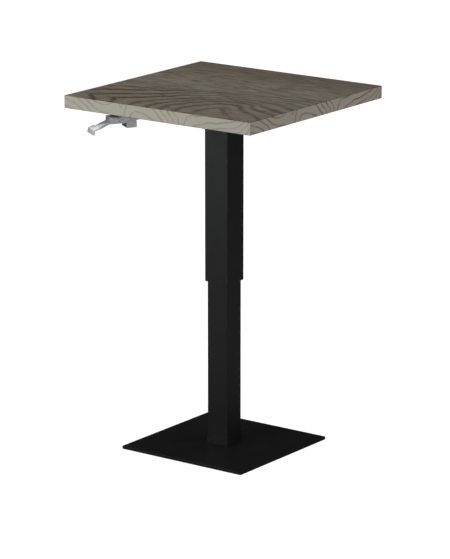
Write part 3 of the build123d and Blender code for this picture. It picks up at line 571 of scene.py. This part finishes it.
# slot: how its surface is built, and the uniform values of its shader
FINISHES = {
    "pad_rubber": (ribbed_rubber, {}),
    "black_powder_coat": (
        lambda g: coat(g, (0.0145, 0.0144, 0.0141), (0.0200, 0.0198, 0.0194), rough=0.42),
        {SHINE: 0.27},
    ),
    "zinc_steel": (
        lambda g: plating(g, (0.70, 0.705, 0.730), (0.65, 0.655, 0.678), rough=0.40),
        {"Metallic": 0.15},
    ),
    "raw_steel": (
        lambda g: turned_steel(g, (0.42, 0.42, 0.43), (0.25, 0.25, 0.26), rough=0.38), METAL
    ),
    "polished_steel": (
        lambda g: turned_steel(g, (0.72, 0.73, 0.75), (0.55, 0.56, 0.58), rough=0.16), METAL
    ),
    "black_plastic": (
        lambda g: coat(
            g, (0.010, 0.010, 0.010), (0.018, 0.018, 0.018), rough=0.58, grain=900.0,
            depth=0.04 * MM,
        ),
        {},
    ),
    "seal_rubber": (
        lambda g: coat(
            g, (0.012, 0.012, 0.012), (0.024, 0.024, 0.023), rough=0.72, grain=1200.0,
            depth=0.03 * MM,
        ),
        {},
    ),
    "cable_sheath": (jacket, {}),
    "core_board": (pressed_board, {}),
    "backer_sheet": (backer, {}),
    "wood_laminate": (laminate_top, {SHINE: 0.18}),
}
finishes = {
    slot: finish_material(slot, build, uniform) for slot, (build, uniform) in FINISHES.items()
}
edge_group = level_group("edge_rings", edge_rings)
edge_finishes = {
    node: finish_material(
        "edge_laminate_" + node.split("_")[-1], edge_wood(*run, edge_group), {SHINE: 0.25}
    )
    for node, run in EDGE_RUNS.items()
}
for node, piece in nodes.items():
    finish = edge_finishes.get(node) or finishes[slot_of[node]]
    for material_slot in piece.material_slots:
        material_slot.material = finish


# ---- new pieces --------------------------------------------------------------------------
def new_piece(name, mesh, body, slot):
    piece = bpy.data.objects.new(name, mesh)
    scene.collection.objects.link(piece)
    mesh.materials.clear()
    mesh.materials.append(finishes[slot])
    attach(piece, body)
    return piece


def closed_ring_mesh(name, rings, loop=False):
    """A skin over rings of points; capped at both ends, or joined end to end."""
    mesh = bpy.data.meshes.new(name)
    shape = bmesh.new()
    rows = [[shape.verts.new(point) for point in ring] for ring in rings]
    count = len(rows[0])
    following_rows = rows[1:] + rows[:1] if loop else rows[1:]
    for row, following in zip(rows, following_rows):
        for index in range(count):
            after = (index + 1) % count
            shape.faces.new((row[index], row[after], following[after], following[index]))
    if not loop:
        shape.faces.new(rows[0])
        shape.faces.new(rows[-1])
    bmesh.ops.recalc_face_normals(shape, faces=shape.faces)
    shape.to_mesh(mesh)
    shape.free()
    mesh.shade_smooth()
    return mesh


# Sheet and turned parts at the lever, and how far their sharp edges are broken.
BROKEN_EDGES = {
    "lever_housing": 0.35 * MM, "hand_lever": 0.45 * MM,
    "lever_pivot_pin": 0.4 * MM, "housing_tie_rivet": 0.4 * MM,
}
SAME_POINT = 0.002 * MM


def softened(node, width):
    """A copy of a part with its sharp edges broken, which stands for it."""
    source = nodes[node]
    mesh = bpy.data.meshes.new(node + "_soft")
    shape = bmesh.new()
    shape.from_mesh(source.data)
    bmesh.ops.remove_doubles(shape, verts=shape.verts, dist=SAME_POINT)
    bmesh.ops.dissolve_limit(
        shape, angle_limit=math.radians(0.5), verts=shape.verts, edges=shape.edges
    )
    shape.to_mesh(mesh)
    shape.free()
    piece = new_piece(node + "_soft", mesh, source["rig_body"], slot_of[node])
    bevel = piece.modifiers.new("broken_edges", "BEVEL")
    bevel.width = width
    bevel.segments = 2
    bevel.limit_method = "ANGLE"
    bevel.angle_limit = math.radians(35)
    bevel.use_clamp_overlap = True
    bevel.harden_normals = True
    mesh.shade_smooth()
    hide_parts(node)


for node, width in BROKEN_EDGES.items():
    softened(node, width)

ADJUSTER_AT = Vector((0, 0, 0.9254))
CLIP_HEIGHT = 0.9418
CABLE_RADIUS = 2.5 * MM


def smooth_cable():
    """The cable jacket along its route, a smooth line from the ferrule to the adjuster."""
    route = [
        lever_point(-0.067, -0.007, -0.023), lever_point(-0.103, -0.007, -0.023),
        (-0.092, -0.166, CLIP_HEIGHT), (-0.061, -0.139, CLIP_HEIGHT), (-0.022, -0.108, 0.9315),
        (0.0, -0.076, ADJUSTER_AT.z), (0.0, -0.041, ADJUSTER_AT.z),
    ]
    curve = bpy.data.curves.new("cable_line", "CURVE")
    curve.dimensions = "3D"
    line = curve.splines.new("NURBS")
    line.points.add(len(route) - 1)
    for point, at in zip(line.points, route):
        point.co = (*at, 1.0)
    line.order_u = 3
    line.use_endpoint_u = True
    curve.resolution_u = 24
    curve.bevel_depth = CABLE_RADIUS
    curve.bevel_resolution = 5
    curve.use_fill_caps = True
    holder = bpy.data.objects.new("cable_line", curve)
    mesh = bpy.data.meshes.new_from_object(holder)
    bpy.data.objects.remove(holder)
    mesh.shade_smooth()
    piece = new_piece("cable_jacket", mesh, "top", "cable_sheath")
    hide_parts("cable_sheath")


smooth_cable()

TUBE_CORNER = 2.5 * MM
BEAD_SIZE = 3.2 * MM
BEAD_REACH = 0.9        # of the bead's size: where its hidden corners lie
BEAD_RIPPLE = 2.3 * MM
BEAD_LAG = 1.1 * MM     # how far a ripple's ends trail behind its middle
BEAD_STEP = 0.4 * MM
BEAD_SINK = 0.4 * MM
BEAD_GAP = 12.0 * MM
BEAD_ARC = 8
BEAD_BULGE = 1.25


def tube_outline(half, corner, gap, step):
    """(point, outward direction) in steps round a square tube, open in its front wall."""
    straight = half - corner
    stations = []

    def add_run(start, end, outward):
        length = (end - start).length
        for index in range(round(length / step)):
            stations.append((start + (end - start) * (index * step / length), outward))

    def add_turn(centre, start_angle):
        count = round(corner * math.pi / 2 / step)
        for index in range(count):
            angle = start_angle - math.pi / 2 * index / count
            outward = Vector((math.cos(angle), math.sin(angle), 0))
            stations.append((centre + outward * corner, outward))

    front, left, back, right = (
        Vector((0, -1, 0)), Vector((-1, 0, 0)), Vector((0, 1, 0)), Vector((1, 0, 0))
    )
    add_run(Vector((-gap, -half, 0)), Vector((-straight, -half, 0)), front)
    add_turn(Vector((-straight, -straight, 0)), math.radians(270))
    add_run(Vector((-half, -straight, 0)), Vector((-half, straight, 0)), left)
    add_turn(Vector((-straight, straight, 0)), math.radians(180))
    add_run(Vector((-straight, half, 0)), Vector((straight, half, 0)), back)
    add_turn(Vector((straight, straight, 0)), math.radians(90))
    add_run(Vector((half, straight, 0)), Vector((half, -straight, 0)), right)
    add_turn(Vector((straight, -straight, 0)), 0.0)
    add_run(Vector((straight, -half, 0)), Vector((gap, -half, 0)), front)
    return stations


def bead_ring(point, outward, index, taper):
    """One section of the weld bead: a bulging face between two corners sunk in the steel."""
    def corner(out, up):
        return Vector((point.x, point.y, TUBE_HIGH.z)) + outward * out + Vector((0, 0, up))

    ring = [corner(-BEAD_SINK, BEAD_SINK), corner(BEAD_SIZE * BEAD_REACH * taper, BEAD_SINK)]
    for step in range(BEAD_ARC + 1):
        share = step / BEAD_ARC
        angle = share * math.pi / 2
        lag = BEAD_LAG * (2 * share - 1) ** 2
        wave = math.cos(2 * math.pi * (index * BEAD_STEP + lag) / BEAD_RIPPLE)
        drift = 0.05 * math.sin(index * 0.043) + 0.04 * math.sin(index * 0.117 + 1.0)
        size = BEAD_SIZE * taper * (0.93 + 0.06 * wave + drift)
        ring.append(corner(
            size * math.cos(angle) ** BEAD_BULGE, -size * math.sin(angle) ** BEAD_BULGE
        ))
    ring.append(corner(-BEAD_SINK, -BEAD_SIZE * BEAD_REACH * taper))
    return ring


def weld_bead():
    """The fillet weld of the outer tube to the mounting plate, with its stacked ripples."""
    rings = []
    stations = tube_outline(TUBE_HIGH.x, TUBE_CORNER, BEAD_GAP, BEAD_STEP)
    for index, (point, outward) in enumerate(stations):
        to_end = min(index, len(stations) - 1 - index) * BEAD_STEP
        taper = min(1.0, 0.35 + to_end / (2 * MM))
        rings.append(bead_ring(point, outward, index, taper))
    new_piece("weld_bead", closed_ring_mesh("weld_bead", rings), "top", "black_powder_coat")


weld_bead()


def threaded_adjuster():
    """The cable adjuster with a knurled head and a helical thread down its barrel."""
    # millimetres: along its axis, from the column's axis, then its radii
    out, inner, head, grip_step, seat = -46.0, -10.0, 8.0, 0.8, 5.0
    face, grip, shoulder, barrel, neck, bore = 3.7, 4.5, 4.1, 3.0, 2.6, 1.2
    pitch, depth, thread_step = 1.0, 0.45, 0.125
    around, teeth, notch = 72, 24, 0.3

    def ring(at, radius):
        points = []
        for index in range(around):
            angle = 2 * math.pi * index / around
            reach = radius(index, angle) * MM
            points.append(ADJUSTER_AT + Vector((
                reach * math.cos(angle), at * MM, reach * math.sin(angle)
            )))
        return points

    def plain(size):
        return lambda index, angle: size

    def knurl(size):
        return lambda index, angle: size - notch * (index % (around // teeth) == 0)

    def thread(at, fade):
        def radius(index, angle):
            phase = (at / pitch - angle / (2 * math.pi)) % 1.0
            return barrel - depth * fade * (1 - abs(2 * phase - 1))
        return radius

    rings = [ring(out, plain(face))]
    rings += [ring(out + grip_step + step * grip_step, knurl(grip)) for step in range(9)]
    rings += [ring(out + head - 0.4, knurl(grip)), ring(out + head, plain(shoulder)),
              ring(out + head, plain(neck))]
    for step in range(1, round((inner - out - head - 0.3) / thread_step) + 1):
        at = out + head + step * thread_step
        fade = min(1.0, (at - out - head) / 0.8, (inner - at) / 0.6)
        rings.append(ring(at, thread(at, fade)))
    rings += [ring(inner, plain(neck)), ring(inner, plain(bore)), ring(out + seat, plain(bore)),
              ring(out + seat, plain(neck)), ring(out, plain(neck))]
    node = "cable_adjuster"
    mesh = closed_ring_mesh("adjuster_thread", rings, loop=True)
    piece = new_piece("adjuster_thread", mesh, nodes[node]["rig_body"], slot_of[node])
    edges = piece.modifiers.new("crisp", "EDGE_SPLIT")
    edges.split_angle = math.radians(50)
    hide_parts(node)


threaded_adjuster()

# ---- stage and light ---------------------------------------------------------------------
WHITE = (1, 1, 1, 1)
FLOOR_REACH = 60.0
FLOOR_GREY = (0.26, 0.26, 0.26, 1)
# name, place, point that it faces, width and height, watts, colour
LIGHTS = (
    ("key", (-1.20, -2.2, 0.84), (0, 0, 0.80), (0.8, 0.6), 13, (0.95, 0.99, 0.99)),
    ("front", (-0.5, -2.4, 2.4), (-0.1, -0.2, 0.9), (0.6, 0.6), 11, (0.96, 0.99, 1.0)),
    ("fill", (2.5, 0.25, 0.88), (-0.1, -0.1, 0.94), (0.5, 0.4), 10, (1.0, 0.97, 0.95)),
    ("low_front", (1.1, -2.3, 0.20), (0, 0, 0.5), (0.6, 0.3), 8, (1.0, 0.99, 0.98)),
    ("overhead", (-0.05, -0.02, 3.3), (-0.05, -0.02, 0), (0.8, 0.8), 63, (1, 1, 1)),
)


def make_floor():
    """A floor that the camera sees as plain white and that lights the object as pale grey."""
    mesh = bpy.data.meshes.new("floor")
    corners = [
        (x * FLOOR_REACH, y * FLOOR_REACH, 0) for x, y in ((-1, -1), (1, -1), (1, 1), (-1, 1))
    ]
    mesh.from_pydata(corners, [], [(0, 1, 2, 3)])
    floor = bpy.data.objects.new("floor", mesh)
    scene.collection.objects.link(floor)
    material = bpy.data.materials.new("pale_floor")
    material.use_nodes = True
    material.node_tree.nodes.clear()
    graph = Graph(material.node_tree)
    matt = graph.node("ShaderNodeBsdfDiffuse", {"Color": FLOOR_GREY})
    seen = graph.node("ShaderNodeLightPath").outputs["Is Camera Ray"]
    glow = graph.node("ShaderNodeEmission", {"Color": WHITE, "Strength": seen})
    both = graph.node("ShaderNodeAddShader", {0: matt.outputs[0], 1: glow.outputs[0]})
    graph.node("ShaderNodeOutputMaterial", {"Surface": both.outputs[0]})
    mesh.materials.append(material)


def make_world():
    """Soft light from above that fades to a dim horizon; the camera sees plain white."""
    world = bpy.data.worlds.new("studio")
    world.use_nodes = True
    world.node_tree.nodes.clear()
    graph = Graph(world.node_tree)
    height = graph.split(graph.node("ShaderNodeTexCoord").outputs["Generated"])[2]
    lit = graph.fit(height, 0.40, 0.95, 0.0, 0.38)
    seen = graph.node("ShaderNodeLightPath").outputs["Is Camera Ray"]
    strength = graph.add(lit, graph.mul(seen, graph.sub(1.0, lit)))
    sky = graph.node("ShaderNodeBackground", {"Color": WHITE, "Strength": strength})
    graph.node("ShaderNodeOutputWorld", {"Surface": sky.outputs[0]})
    scene.world = world


def area_light(name, at, aim, size, power, colour):
    data = bpy.data.lights.new(name, "AREA")
    data.shape = "RECTANGLE"
    data.size, data.size_y = size
    data.energy = power
    data.color = colour
    light = bpy.data.objects.new(name, data)
    scene.collection.objects.link(light)
    light.location = at
    light.rotation_mode = "QUATERNION"
    light.rotation_quaternion = (Vector(aim) - Vector(at)).to_track_quat("-Z", "Y")


make_floor()
make_world()
for light in LIGHTS:
    area_light(*light)
